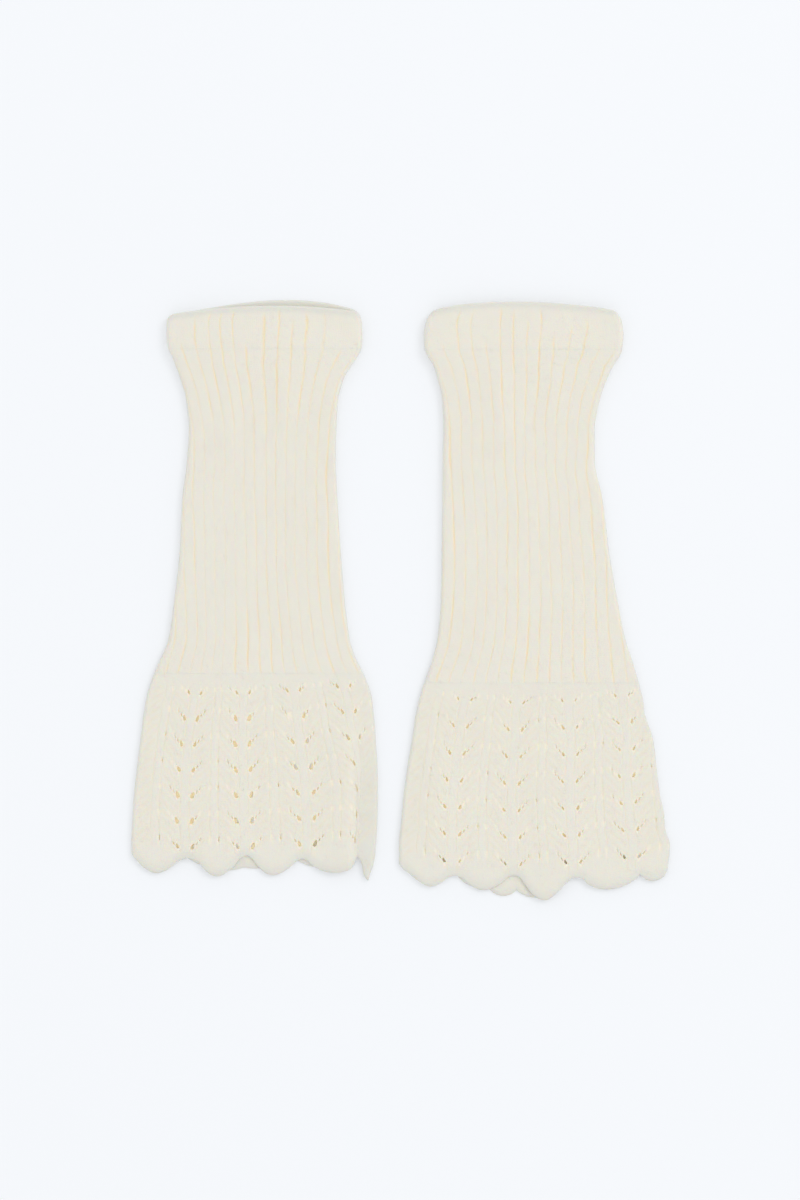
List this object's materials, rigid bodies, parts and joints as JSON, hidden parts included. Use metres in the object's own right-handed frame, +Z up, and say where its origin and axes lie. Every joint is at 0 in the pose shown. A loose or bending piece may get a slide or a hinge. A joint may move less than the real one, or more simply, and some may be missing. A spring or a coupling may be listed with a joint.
{
  "type": "pair of leg warmers",
  "caption": "Pair of knitted leg warmers laid flat: doubled cuff, wide-rib leg and a pointelle lace flare with a scalloped hem.",
  "frame": {"origin": "bottom centre of the pair's box, on the surface that it lies on", "axes": "+Y from the scalloped hems to the cuffs, +X from the left leg warmer to the right one, +Z up from the surface"},
  "size_m": [0.3744, 0.4188, 0.0082],
  "materials": {
    "cuff": "soft cream wool, doubled rib",
    "rib": "soft cream wool, wide rib",
    "lace": "soft cream wool, pointelle lace"
  },
  "bodies": {
    "root": {"left_cuff": "cuff", "left_rib_leg": "rib", "left_lace_front": "lace", "left_lace_back": "lace", "right_cuff": "cuff", "right_rib_leg": "rib", "right_lace_front": "lace", "right_lace_back": "lace"}
  },
  "joints": []
}
